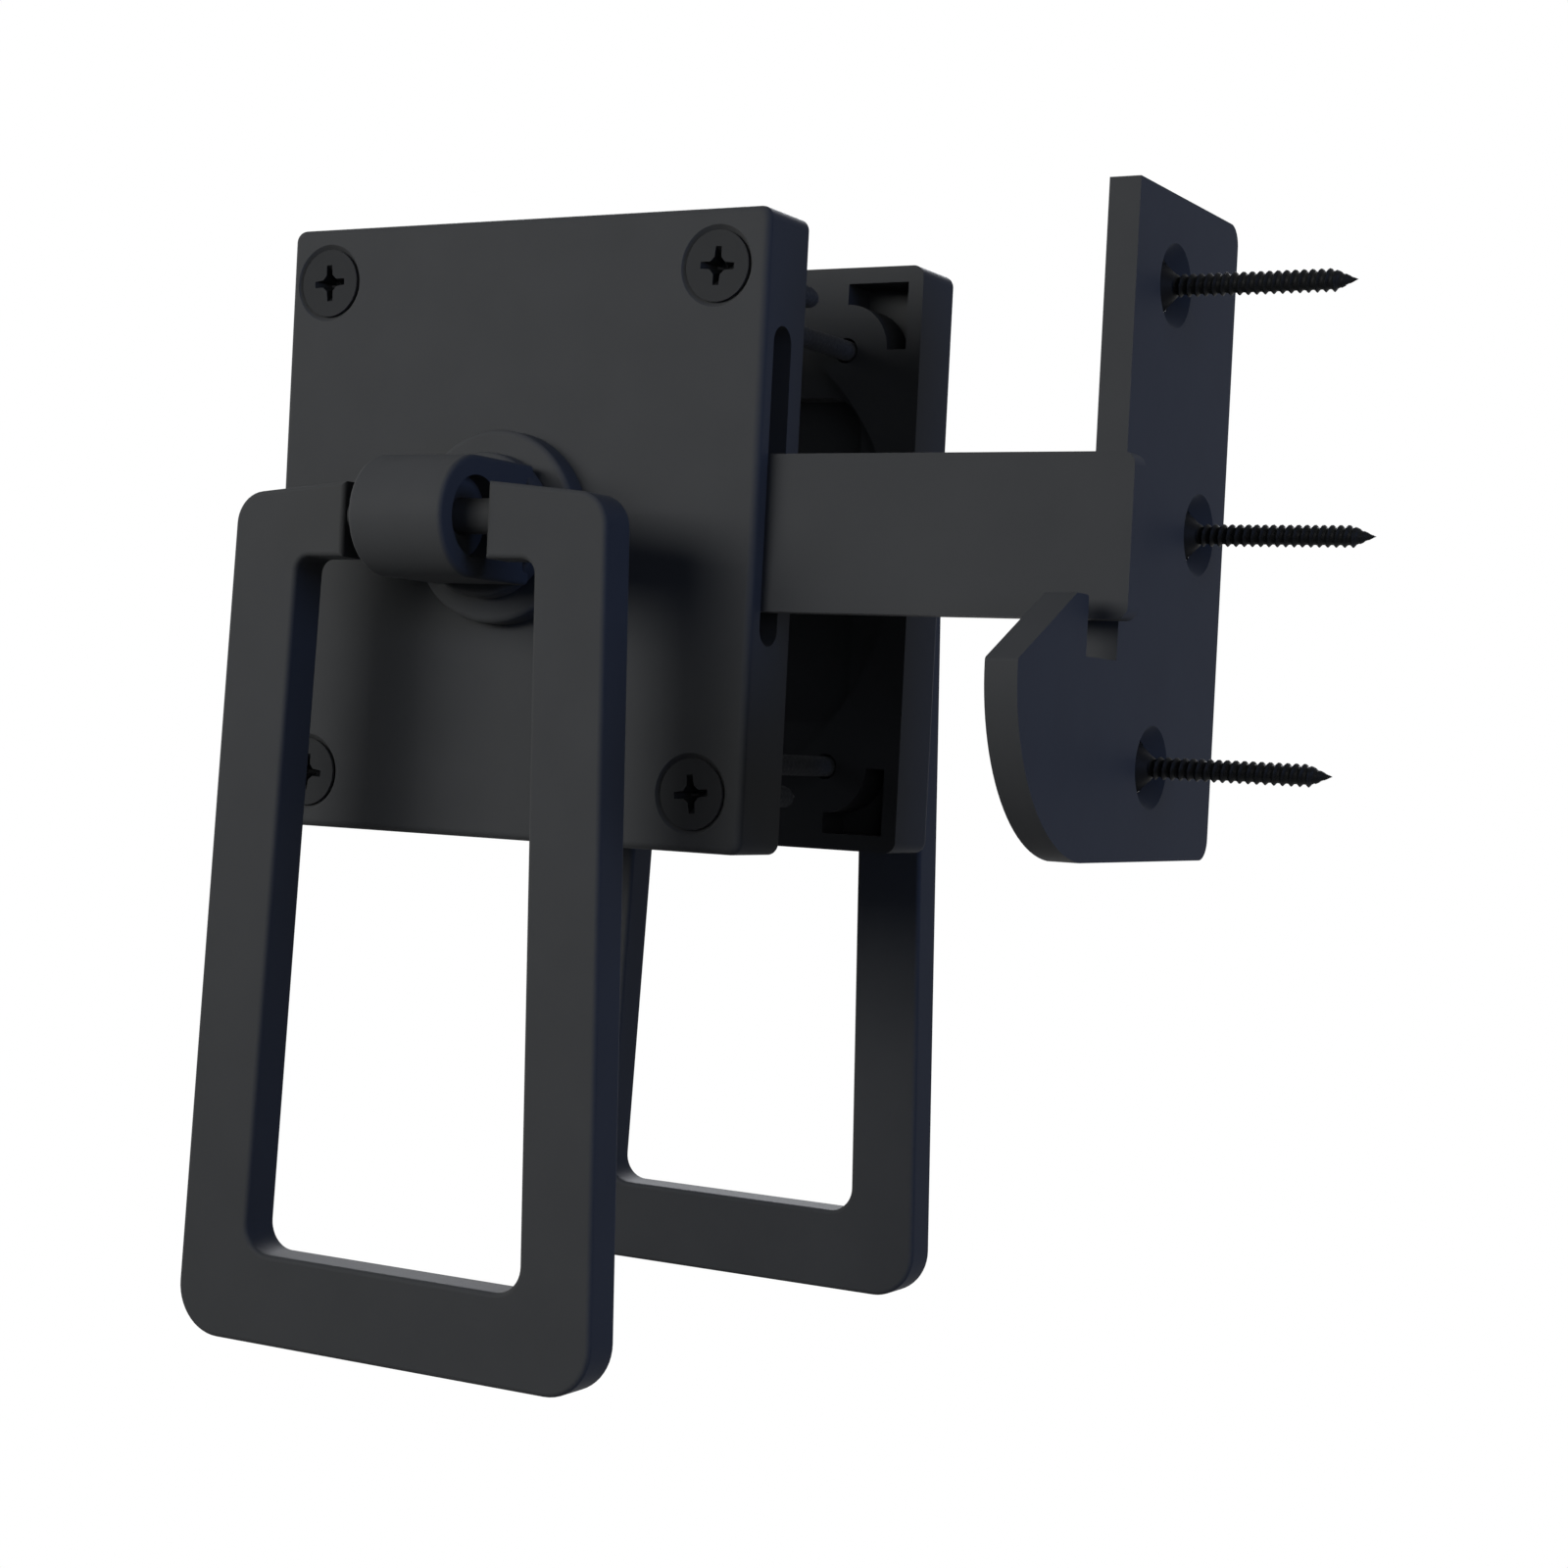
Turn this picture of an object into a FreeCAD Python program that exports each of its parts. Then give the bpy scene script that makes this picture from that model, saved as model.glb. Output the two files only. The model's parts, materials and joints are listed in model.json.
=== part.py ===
import FreeCAD, Part
import math
import os

import Sketcher
from FreeCAD import Placement, Rotation, Vector

# Gate latch with two ring pulls. The front case, its hub, ring and latch bar sit on the front of the
# gate, the rear case, hub and ring behind it, and the strike on the post. The origin is on the front
# face of the gate, on the axis of the spindle. +X points along the bar to the post, +Y through the
# gate to its rear, +Z up. Millimetres.

doc = FreeCAD.newDocument("gate_latch")
sheet = doc.addObject("Spreadsheet::Sheet", "dims")

# Driving dimensions: alias, value, what it measures
SIZES = [
    ("case_width", 70.0, "width of both cases"),
    ("case_height", 76.0, "height of both cases"),
    ("case_depth", 9.5, "depth of both cases"),
    ("face_wall", 2.35, "wall between a case's outer face and its hollow"),
    ("side_wall", 2.4, "side wall of the front case at the slot"),
    ("case_corner", 1.5, "corner radius of the cases' outline"),
    ("case_edge", 0.9, "round on the outer edges of the cases"),
    ("gate_thickness", 31.0, "gate between the two cases"),
    ("boss_dia", 23.6, "raised round boss on a case"),
    ("boss_height", 3.1, "height of that boss"),
    ("boss_round", 0.7, "round on the boss's rim"),
    ("recess_wall", 2.5, "round recess from the nearer edge of its case"),
    ("bore_gap", 0.05, "radial gap of a turning fit"),
    ("seat_gap", 0.04, "gap of a fixed fit"),
    ("collar_dia", 17.6, "collar of a hub"),
    ("collar_height", 2.5, "height of the collar"),
    ("collar_gap", 0.2, "gap between collar and boss"),
    ("journal_dia", 13.1, "journal of a hub in its case"),
    ("lug_width", 13.3, "width of the lug between the ring's ends"),
    ("lug_dia", 14.4, "barrel nose of the lug"),
    ("ring_standoff", 15.7, "ring's swing axis in front of the case face"),
    ("stub_dia", 4.2, "stub ends of the ring"),
    ("stub_reach", 8.5, "length of a stub from the ring's end"),
    ("cup_dia", 9.7, "counterbore round a stub in the lug"),
    ("cup_depth", 2.2, "depth of that counterbore"),
    ("ring_slide", 0.3, "how far the rings have slid to the left in their lugs"),
    ("ring_thickness", 5.5, "thickness of the ring"),
    ("ring_gap", 20.6, "gap between the ring's two ends"),
    ("ring_rise", 3.9, "top of the ring's ends above its swing axis"),
    ("ring_end_height", 9.0, "height of the ring's top bar at its ends"),
    ("ring_shoulder_drop", 1.5, "fall of the top bar from its ends to the shoulders"),
    ("ring_drop", 99.9, "bottom of the ring below its swing axis"),
    ("ring_top_width", 53.0, "width of the ring at its shoulders"),
    ("ring_bottom_width", 60.1, "width of the ring at its bottom"),
    ("ring_side_bar", 9.7, "width of the ring's side bars"),
    ("ring_bottom_bar", 10.9, "height of the ring's bottom bar"),
    ("ring_shoulder_round", 4.0, "outer top corners of the ring"),
    ("ring_foot_round", 6.0, "outer bottom corners of the ring"),
    ("ring_inner_round", 1.8, "inner top corners of the ring"),
    ("ring_heel_round", 3.3, "inner bottom corners of the ring"),
    ("ring_edge", 0.6, "round on the ring's face edges"),
    ("spindle_side", 7.0, "square of the spindle"),
    ("socket_depth", 11.0, "depth of a hub's square socket"),
    ("spindle_end_gap", 0.5, "gap at each end of the spindle in its socket"),
    ("bar_floor_gap", 0.5, "gap between the front wall and the bar"),
    ("bar_thickness", 3.2, "thickness of the latch bar"),
    ("bar_height", 18.5, "height of the latch bar"),
    ("bar_overhang", 3.2, "end of the latch bar beyond the strike"),
    ("bar_crest", 14.0, "top edge of the bar over the cam"),
    ("bar_crest_end", 17.0, "where the crest starts to fall, toward the slot"),
    ("bar_fall_end", 23.0, "where the crest has fallen to the bar's own height"),
    ("bar_corner", 1.5, "corner rounds of the bar"),
    ("bar_window", 33.0, "width of the window over the cam"),
    ("pivot_margin", 6.5, "bar's pivot from the edge of the recess"),
    ("pivot_dia", 5.0, "shank of the pivot pin"),
    ("pivot_head_dia", 8.4, "head of the pivot pin"),
    ("pivot_head", 1.2, "thickness of that head"),
    ("pivot_sink", 1.3, "how deep the pin is pressed into the front wall"),
    ("pivot_pad_dia", 10.0, "cast pad round the pivot"),
    ("tail_reach", 4.6, "end of the bar behind its pivot"),
    ("tail_chamfer", 4.2, "cut corners of the bar's tail"),
    ("washer_thickness", 0.8, "pivot washer"),
    ("washer_gap", 0.15, "play beside the bar at its pivot"),
    ("slot_width", 4.2, "width of the slot in the case's side"),
    ("slot_top_margin", 13.55, "top of the slot below the top of the case"),
    ("slot_bottom_gap", 4.05, "bottom of the slot below the bar"),
    ("cam_reach", 13.6, "tip of the cam from the spindle axis"),
    ("cam_flat", 6.0, "height of the cam's flat top above the spindle axis"),
    ("cam_tip", 3.4, "height of the cam's tips"),
    ("cam_belly", 6.2, "underside of the cam below the spindle axis"),
    ("cam_floor_gap", 0.2, "gap between the front wall and the cam"),
    ("cam_thickness", 3.5, "thickness of the cam"),
    ("cam_lift_gap", 0.3, "play between the cam's flat and the bar"),
    ("lock_dia", 11.6, "washer that locks the cam"),
    ("lock_thickness", 1.2, "thickness of that washer"),
    ("groove_dia", 11.0, "groove of the rear hub's journal"),
    ("groove_gap", 0.3, "groove's distance from the rear wall"),
    ("snap_thickness", 1.0, "snap ring"),
    ("snap_dia", 16.6, "outside of the snap ring"),
    ("snap_mouth", 8.0, "mouth of the snap ring"),
    ("journal_tail", 1.2, "journal beyond the snap ring"),
    ("screw_left_margin", 5.9, "left front screws from the left edge of the case"),
    ("screw_margin", 6.9, "front screws from the case's other edges"),
    ("rear_screw_margin", 10.8, "rear screws from the edges of the case"),
    ("rear_boss_dia", 12.0, "boss round a rear screw"),
    ("rear_rim", 2.1, "rim of the rear case round its corner pockets"),
    ("rear_pocket_depth", 6.0, "depth of the corner pockets"),
    ("rear_recess_depth", 3.0, "depth of the round recess in the rear case"),
    ("rear_well_side", 9.5, "inner well of the rear case from the case's sides"),
    ("rear_well_end", 16.5, "inner well from the case's top and bottom"),
    ("rear_well_corner", 5.0, "corner radius of the inner well"),
    ("screw_length", 25.4, "length of the wood screws"),
    ("screw_head_dia", 8.8, "their flat head"),
    ("screw_head_land", 0.4, "rim of the head"),
    ("screw_head_angle", 82.0, "angle of the head's cone in degrees"),
    ("screw_shaft_dia", 2.7, "their shaft over the thread"),
    ("screw_point", 2.6, "length of their point"),
    ("screw_hole_gap", 0.3, "radial gap round the shaft in a case"),
    ("screw_sink", 0.1, "how far a head lies below the face"),
    ("cross_length", 4.7, "cross recess of a head, tip to tip"),
    ("cross_width", 1.1, "width of the recess's arms"),
    ("cross_depth", 1.7, "depth of the recess"),
    ("strike_gap", 38.9, "gap between the front case and the strike"),
    ("strike_thickness", 3.8, "thickness of the strike"),
    ("strike_width", 31.6, "width of the strike's plate"),
    ("strike_top", 40.65, "top of the strike above the spindle axis"),
    ("strike_bottom", 36.15, "bottom of the strike below the spindle axis"),
    ("strike_corner", 2.5, "corner radius of the strike"),
    ("notch_front_gap", 3.35, "notch in front of the bar"),
    ("notch_back_gap", 2.15, "notch behind the bar"),
    ("notch_floor_gap", 4.3, "notch's floor below the bar"),
    ("hook_reach", 17.8, "hook's front edge from the notch"),
    ("hook_tip", 6.8, "top of the hook below the spindle axis"),
    ("hook_tip_flat", 3.2, "flat on top of the hook"),
    ("hook_ramp_drop", 7.9, "fall of the ramp"),
    ("hook_round", 21.0, "radius of the round under the hook"),
    ("hook_heel", 18.8, "end of that round from the hook's front edge"),
    ("hook_edge", 0.5, "small corners of the hook"),
    ("strike_hole_inset", 12.0, "upper and lower holes from the plate's front edge"),
    ("strike_mid_inset", 23.4, "middle hole from that edge"),
    ("strike_hole_top", 30.3, "upper hole above the spindle axis"),
    ("strike_hole_mid", 2.6, "middle hole above the spindle axis"),
    ("strike_hole_low", 25.3, "lower hole below the spindle axis"),
]

for row, (alias, value, note) in enumerate(SIZES, start=1):
    sheet.set("A%d" % row, note)
    sheet.set("B%d" % row, str(value))
    sheet.setAlias("B%d" % row, alias)
doc.recompute()

# Planes and places that several pieces share, as formulas of the sheet
FLOOR = "(-dims.case_depth + dims.face_wall)"
BAR_FRONT = "(%s + dims.bar_floor_gap)" % FLOOR
BAR_BACK = "(%s + dims.bar_thickness)" % BAR_FRONT
BAR_MIDDLE = "(%s + dims.bar_thickness / 2)" % BAR_FRONT
CAM_FRONT = "(%s + dims.cam_floor_gap)" % FLOOR
CAM_BACK = "(%s + dims.cam_thickness)" % CAM_FRONT
COLLAR_BACK = "(-dims.case_depth - dims.boss_height - dims.collar_gap)"
COLLAR_FRONT = "(%s - dims.collar_height)" % COLLAR_BACK
RING_AXIS = "(-dims.case_depth - dims.ring_standoff)"
GROOVE_FRONT = "(%s + dims.groove_gap)" % FLOOR
GROOVE_BACK = "(%s + dims.snap_thickness + 2 * dims.seat_gap)" % GROOVE_FRONT
REAR_JOURNAL_END = "(%s + dims.journal_tail)" % GROOVE_BACK
STRIKE_LEFT = "(dims.case_width / 2 + dims.strike_gap)"
STRIKE_RIGHT = "(%s + dims.strike_thickness)" % STRIKE_LEFT
PLATE_FRONT = "(%s + dims.notch_back_gap)" % BAR_BACK
RECESS_DIA = "(min(dims.case_width; dims.case_height) - 2 * dims.recess_wall)"
PIVOT_X = "(-%s / 2 + dims.pivot_margin)" % RECESS_DIA
SLOT_TOP = "(dims.case_height / 2 - dims.slot_top_margin)"
SLOT_BOTTOM = "(-dims.bar_height / 2 - dims.slot_bottom_gap)"
SCREW_LEFT = "(-dims.case_width / 2 + dims.screw_left_margin)"
SCREW_RIGHT = "(dims.case_width / 2 - dims.screw_margin)"
SCREW_UP = "(dims.case_height / 2 - dims.screw_margin)"
REAR_SCREW_X = "(dims.case_width / 2 - dims.rear_screw_margin)"
REAR_SCREW_UP = "(dims.case_height / 2 - dims.rear_screw_margin)"
WINDOW_TOP = "(dims.cam_flat + dims.cam_lift_gap)"
BORE_DIA = "(dims.journal_dia + 2 * dims.bore_gap)"
SOCKET_SIDE = "(dims.spindle_side + 2 * dims.seat_gap)"
HEAD_SLOPE = "tan(dims.screw_head_angle / 2 * 1 deg)"
HEAD_CONE = "((dims.screw_head_dia - dims.screw_shaft_dia) / 2 / %s)" % HEAD_SLOPE
SINK_DIA = ("(dims.screw_head_dia + 2 * (dims.screw_head_land + dims.screw_sink) * %s"
            " + 2 * dims.seat_gap)" % HEAD_SLOPE)
SCREW_HOLE_DIA = "(dims.screw_shaft_dia + 2 * dims.screw_hole_gap)"

# How the coordinate of a plane along its axis turns into its offset along the sketch normal
PLANES = {"XY_Plane": 1, "YZ_Plane": 1, "XZ_Plane": -1}
TOLERANCE = 1e-4

pieces = []


def measure(formula):
    """The number that a formula of the sheet gives."""
    return float(sheet.evalExpression(formula))


def new_body(label):
    """A body for one piece; its label names its file."""
    body = doc.addObject("PartDesign::Body", label)
    body.Label = label
    pieces.append(body)
    return body


def place(body, x="0", y="0", z="0", axis=(0, 0, 1), angle=0):
    """Turn a finished body about an axis, then move it to a place given by formulas."""
    body.Placement = Placement(Vector(measure(x), measure(y), measure(z)), Rotation(Vector(*axis), angle))
    for name, formula in zip("xyz", (x, y, z)):
        body.setExpression("Placement.Base.%s" % name, formula)


def place_behind_gate(body):
    """Turn a piece made for the front round to the rear of the gate."""
    place(body, y="dims.gate_thickness", axis=(0, 0, 1), angle=180)


def sketch_on(body, name, role, at="0"):
    """An empty sketch on a plane across X, Y or Z, at the coordinate that the formula gives."""
    plane = [feature for feature in body.Origin.OriginFeatures if feature.Role == role][0]
    sketch = body.newObject("Sketcher::SketchObject", name)
    sketch.AttachmentSupport = [(plane, "")]
    sketch.MapMode = "FlatFace"
    sketch.setExpression("AttachmentOffset.Base.z", "%d * %s" % (PLANES[role], at))
    return sketch


def bind(sketch, constraint, formula):
    """Add a constraint and drive its value by a formula."""
    index = sketch.addConstraint(constraint)
    name = "size%d" % index
    sketch.renameConstraint(index, name)
    sketch.setExpression("Constraints.%s" % name, formula)


def bind_point(sketch, geometry, position, across, up):
    """Fix a point at a distance across and up from the sketch's origin."""
    bind(sketch, Sketcher.Constraint("DistanceX", -1, 1, geometry, position, measure(across)), across)
    bind(sketch, Sketcher.Constraint("DistanceY", -1, 1, geometry, position, measure(up)), up)


def add_circle(sketch, across, up, diameter):
    """A circle with its centre and diameter bound to formulas."""
    centre = Vector(measure(across), measure(up), 0)
    index = sketch.addGeometry(Part.Circle(centre, Vector(0, 0, 1), measure(diameter) / 2))
    bind_point(sketch, index, 3, across, up)
    bind(sketch, Sketcher.Constraint("Diameter", index, measure(diameter)), diameter)


def arc_between(start, end, radius, turn):
    """The short arc from start to end, turning left (1) or right (-1)."""
    chord = end - start
    rise = math.sqrt(max(radius ** 2 - chord.Length ** 2 / 4, 0))
    left = Vector(-chord.y, chord.x, 0).normalize()
    centre = (start + end) / 2 + left * rise * turn
    circle = Part.Circle(centre, Vector(0, 0, 1), radius)
    first, last = (start, end) if turn > 0 else (end, start)
    return Part.ArcOfCircle(circle, circle.parameter(first), circle.parameter(last))


def add_outline(sketch, corners):
    """A closed outline through corners (across, up). A corner with a radius and a turn starts an arc."""
    count = len(corners)
    points = [Vector(measure(corner[0]), measure(corner[1]), 0) for corner in corners]
    begins, ends, edges = [], [], []
    for index, corner in enumerate(corners):
        start, end = points[index], points[(index + 1) % count]
        if len(corner) == 2:
            edges.append(sketch.addGeometry(Part.LineSegment(start, end)))
            begins.append(1)
            ends.append(2)
            continue
        radius, turn = corner[2:]
        edges.append(sketch.addGeometry(arc_between(start, end, measure(radius), turn)))
        begins.append(1 if turn > 0 else 2)
        ends.append(2 if turn > 0 else 1)
    for index in range(count):
        after = (index + 1) % count
        sketch.addConstraint(
            Sketcher.Constraint("Coincident", edges[index], ends[index], edges[after], begins[after]))
    for index, corner in enumerate(corners):
        bind_point(sketch, edges[index], begins[index], corner[0], corner[1])
        if len(corner) > 2:
            bind(sketch, Sketcher.Constraint("Radius", edges[index], measure(corner[2])), corner[2])


def add_rectangle(sketch, left, bottom, right, top):
    """A rectangle between four formulas."""
    add_outline(sketch, [(left, bottom), (right, bottom), (right, top), (left, top)])


def pad(body, sketch, name, length, back=False, both_ways=False):
    """Add material along the sketch's normal, against it, or half each way."""
    feature = body.newObject("PartDesign::Pad", name)
    feature.Profile = sketch
    feature.Reversed = back
    feature.SideType = "Symmetric" if both_ways else "One side"
    feature.setExpression("Length", length)
    doc.recompute()
    return feature


def pocket(body, sketch, name, length, back=False, both_ways=False):
    """Cut against the sketch's normal, along it if back is set, or half each way."""
    before = body.Shape.Volume
    feature = body.newObject("PartDesign::Pocket", name)
    feature.Profile = sketch
    feature.Reversed = back
    feature.SideType = "Symmetric" if both_ways else "One side"
    feature.setExpression("Length", length)
    doc.recompute()
    if body.Shape.Volume >= before:
        raise ValueError("%s of %s cuts nothing" % (name, body.Label))
    return feature


def revolve(body, sketch, name, axis="V_Axis"):
    """Turn a sketch once round its own vertical or horizontal axis."""
    feature = body.newObject("PartDesign::Revolution", name)
    feature.Profile = sketch
    feature.ReferenceAxis = (sketch, [axis])
    feature.Angle = 360
    doc.recompute()
    return feature


def groove(body, sketch, name, axis="V_Axis"):
    """Cut a sketch once round its own vertical axis or one of its edges."""
    before = body.Shape.Volume
    feature = body.newObject("PartDesign::Groove", name)
    feature.Profile = sketch
    feature.ReferenceAxis = (sketch, [axis])
    feature.Angle = 360
    doc.recompute()
    if body.Shape.Volume >= before:
        raise ValueError("%s of %s cuts nothing" % (name, body.Label))
    return feature


def screw_holes(body, sketch, name):
    """Countersunk holes for the wood screws, at the circles of a sketch on the outer face."""
    before = body.Shape.Volume
    feature = body.newObject("PartDesign::Hole", name)
    feature.Profile = sketch
    feature.DepthType = "ThroughAll"
    feature.HoleCutType = "Countersink"
    feature.HoleCutCustomValues = True
    feature.setExpression("Diameter", SCREW_HOLE_DIA)
    feature.setExpression("HoleCutDiameter", SINK_DIA)
    feature.setExpression("HoleCutCountersinkAngle", "dims.screw_head_angle")
    doc.recompute()
    if body.Shape.Volume >= before:
        raise ValueError("%s of %s cuts nothing" % (name, body.Label))
    return feature


def round_edges(body, name, radius, wanted):
    """Round the edges of the body's last feature that pass a test."""
    base = body.Tip
    names = ["Edge%d" % number for number, edge in enumerate(base.Shape.Edges, start=1) if wanted(edge)]
    feature = body.newObject("PartDesign::Fillet", name)
    feature.Base = (base, names)
    feature.setExpression("Radius", radius)
    doc.recompute()
    return feature


def lies_at(edge, axis, value):
    """True for an edge that lies wholly at one coordinate of an axis."""
    box = edge.BoundBox
    low, high = {"x": (box.XMin, box.XMax), "y": (box.YMin, box.YMax), "z": (box.ZMin, box.ZMax)}[axis]
    return abs(low - value) < TOLERANCE and abs(high - value) < TOLERANCE


def runs_along(edge, axis):
    """True for a straight edge parallel to an axis."""
    if edge.Curve.TypeId != "Part::GeomLine":
        return False
    direction = edge.tangentAt(edge.FirstParameter)
    return abs(abs(getattr(direction, axis)) - 1) < TOLERANCE


def middle(edge):
    """The middle of an edge's box."""
    return edge.BoundBox.Center


def case_blank(body):
    """The block of a case with its round boss, its outer face toward -Y and its open side at Y 0."""
    outline = sketch_on(body, "case_outline", "XZ_Plane")
    add_rectangle(outline, "-dims.case_width / 2", "-dims.case_height / 2",
                  "dims.case_width / 2", "dims.case_height / 2")
    pad(body, outline, "block", "dims.case_depth")
    round_edges(body, "corner_rounds", "dims.case_corner", lambda edge: runs_along(edge, "y"))
    face = -measure("dims.case_depth")
    round_edges(body, "face_rounds", "dims.case_edge", lambda edge: lies_at(edge, "y", face))
    boss = sketch_on(body, "boss_circle", "XZ_Plane", "(-dims.case_depth)")
    add_circle(boss, "0", "0", "dims.boss_dia")
    pad(body, boss, "boss", "dims.boss_height")
    rim = -measure("dims.case_depth + dims.boss_height")
    round_edges(body, "boss_round", "dims.boss_round", lambda edge: lies_at(edge, "y", rim))


def case_bore(body):
    """The bore for the hub's journal, through boss and wall."""
    bore = sketch_on(body, "bore_circle", "XZ_Plane", "(-dims.case_depth - dims.boss_height)")
    add_circle(bore, "0", "0", BORE_DIA)
    pocket(body, bore, "bore", "dims.case_depth + dims.boss_height")


def corner_screw_holes(body, left, right, up):
    """Four countersunk holes of a case, at two places across and at a distance above and below."""
    circles = sketch_on(body, "screw_circles", "XZ_Plane", "(-dims.case_depth)")
    for across in (left, right):
        for height in (-1, 1):
            add_circle(circles, across, "%d * %s" % (height, up), SCREW_HOLE_DIA)
    screw_holes(body, circles, "screw_holes")


def make_front_case():
    """Casting with a round hollow, a channel and slot for the bar, and a pad for its pivot."""
    body = new_body("front_case")
    case_blank(body)
    hollow_depth = "dims.case_depth - dims.face_wall"
    recess = sketch_on(body, "recess_circle", "XZ_Plane")
    add_circle(recess, "0", "0", RECESS_DIA)
    pocket(body, recess, "recess", hollow_depth, back=True)
    channel = sketch_on(body, "channel_outline", "XZ_Plane")
    add_rectangle(channel, "0", SLOT_BOTTOM, "dims.case_width / 2 - dims.side_wall", SLOT_TOP)
    pocket(body, channel, "bar_channel", hollow_depth, back=True)
    slot = sketch_on(body, "slot_outline", "YZ_Plane", "dims.case_width / 2")
    half = "dims.slot_width / 2"
    low, high = "(%s + %s)" % (SLOT_BOTTOM, half), "(%s - %s)" % (SLOT_TOP, half)
    front, back = "(%s - %s)" % (BAR_MIDDLE, half), "(%s + %s)" % (BAR_MIDDLE, half)
    add_outline(slot, [
        (front, low, half, 1), (BAR_MIDDLE, SLOT_BOTTOM, half, 1), (back, low),
        (back, high, half, 1), (BAR_MIDDLE, SLOT_TOP, half, 1), (front, high)])
    pocket(body, slot, "bar_slot", "1.5 * dims.side_wall")
    pivot_pad = sketch_on(body, "pivot_pad_circle", "XZ_Plane", FLOOR)
    add_circle(pivot_pad, PIVOT_X, "0", "dims.pivot_pad_dia")
    pad(body, pivot_pad, "pivot_pad", "dims.bar_floor_gap - dims.washer_gap", back=True)
    pin_hole = sketch_on(body, "pin_hole_circle", "XZ_Plane", "(%s - dims.washer_gap)" % BAR_FRONT)
    add_circle(pin_hole, PIVOT_X, "0", "dims.pivot_dia + 2 * dims.seat_gap")
    pocket(body, pin_hole, "pin_hole", "dims.bar_floor_gap - dims.washer_gap + dims.pivot_sink", back=True)
    case_bore(body)
    corner_screw_holes(body, SCREW_LEFT, SCREW_RIGHT, SCREW_UP)


def corner_pocket(sketch, side, height):
    """One L-shaped pocket of the rear case, outside the round boss of its screw."""
    boss_x, boss_z = "%d * %s" % (side, REAR_SCREW_X), "%d * %s" % (height, REAR_SCREW_UP)
    rim_x = "%d * (dims.case_width / 2 - dims.rear_rim)" % side
    rim_z = "%d * (dims.case_height / 2 - dims.rear_rim)" % height
    shoulder_x = "%d * (%s + dims.rear_boss_dia / 2)" % (side, REAR_SCREW_X)
    shoulder_z = "%d * (%s + dims.rear_boss_dia / 2)" % (height, REAR_SCREW_UP)
    add_outline(sketch, [
        (boss_x, shoulder_z), (boss_x, rim_z), (rim_x, rim_z), (rim_x, boss_z),
        (shoulder_x, boss_z, "dims.rear_boss_dia / 2", side * height)])


def make_rear_case():
    """Open casting: corner pockets round the screw bosses, a round recess and an inner well."""
    body = new_body("rear_case")
    case_blank(body)
    recess = sketch_on(body, "recess_circle", "XZ_Plane")
    add_circle(recess, "0", "0", RECESS_DIA)
    pocket(body, recess, "recess", "dims.rear_recess_depth", back=True)
    well = sketch_on(body, "well_outline", "XZ_Plane")
    wide, tall, corner = ("(dims.case_width / 2 - dims.rear_well_side)",
                          "(dims.case_height / 2 - dims.rear_well_end)", "dims.rear_well_corner")
    in_x, in_z = "(%s - %s)" % (wide, corner), "(%s - %s)" % (tall, corner)
    add_outline(well, [
        (in_x, "-" + tall, corner, 1), (wide, "-" + in_z), (wide, in_z, corner, 1), (in_x, tall),
        ("-" + in_x, tall, corner, 1), ("-" + wide, in_z), ("-" + wide, "-" + in_z, corner, 1),
        ("-" + in_x, "-" + tall)])
    pocket(body, well, "well", "dims.case_depth - dims.face_wall", back=True)
    pockets = sketch_on(body, "corner_pocket_outlines", "XZ_Plane")
    for side in (-1, 1):
        for height in (-1, 1):
            corner_pocket(pockets, side, height)
    pocket(body, pockets, "corner_pockets", "dims.rear_pocket_depth", back=True)
    case_bore(body)
    corner_screw_holes(body, "-" + REAR_SCREW_X, REAR_SCREW_X, REAR_SCREW_UP)
    place_behind_gate(body)


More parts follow.
